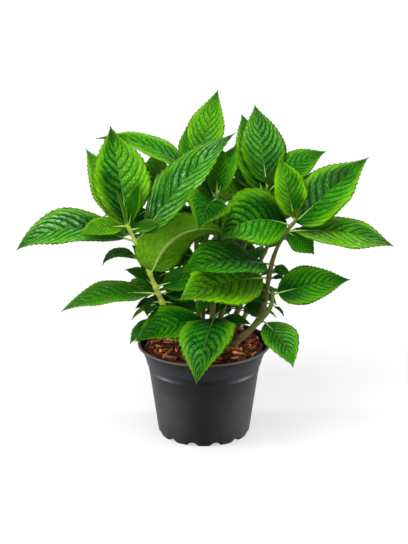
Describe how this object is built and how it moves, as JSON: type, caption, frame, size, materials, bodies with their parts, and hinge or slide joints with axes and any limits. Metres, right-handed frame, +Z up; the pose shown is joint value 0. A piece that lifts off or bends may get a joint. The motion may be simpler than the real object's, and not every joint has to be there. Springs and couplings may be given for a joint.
{
  "type": "young hydrangea shrub in its nursery pot",
  "caption": "Leafy young hydrangea: short canes with broad toothed leaves rise from a bark-topped bed in a tapered black nursery pot",
  "frame": {"origin": "centre of the pot's flat underside", "axes": "+Z up through the pot's axis, -Y the front as pictured, +X to the right of that view"},
  "size_m": [0.4176, 0.3193, 0.3816],
  "materials": {
    "leaf_green": "satin leaf blade, fresh green with paler veins and a fine toothed margin",
    "cane_bark": "young olive-brown cane with pale lenticels",
    "bark_chips": "rough reddish-brown shredded bark",
    "pot_plastic": "semi-matte near-black moulded plastic"
  },
  "bodies": {
    "root": {"pot": "pot_plastic", "bark_bed": "bark_chips", "cane_left": "cane_bark", "cane_left_low": "cane_bark", "cane_front_low": "cane_bark", "cane_front_mid": "cane_bark", "cane_right": "cane_bark", "cane_right_low": "cane_bark", "cane_centre": "cane_bark", "cane_right_back": "cane_bark", "cane_back_left": "cane_bark", "cane_back": "cane_bark", "cane_back_right": "cane_bark", "cane_back_low": "cane_bark", "cane_back_low_right": "cane_bark", "leaves_left": "leaf_green", "leaves_left_low": "leaf_green", "leaves_front_low": "leaf_green", "leaves_front_mid": "leaf_green", "leaves_right": "leaf_green", "leaves_right_low": "leaf_green", "leaves_centre": "leaf_green", "leaves_right_back": "leaf_green", "leaves_back_left": "leaf_green", "leaves_back": "leaf_green", "leaves_back_right": "leaf_green", "leaves_back_low": "leaf_green", "leaves_back_low_right": "leaf_green"}
  },
  "joints": []
}
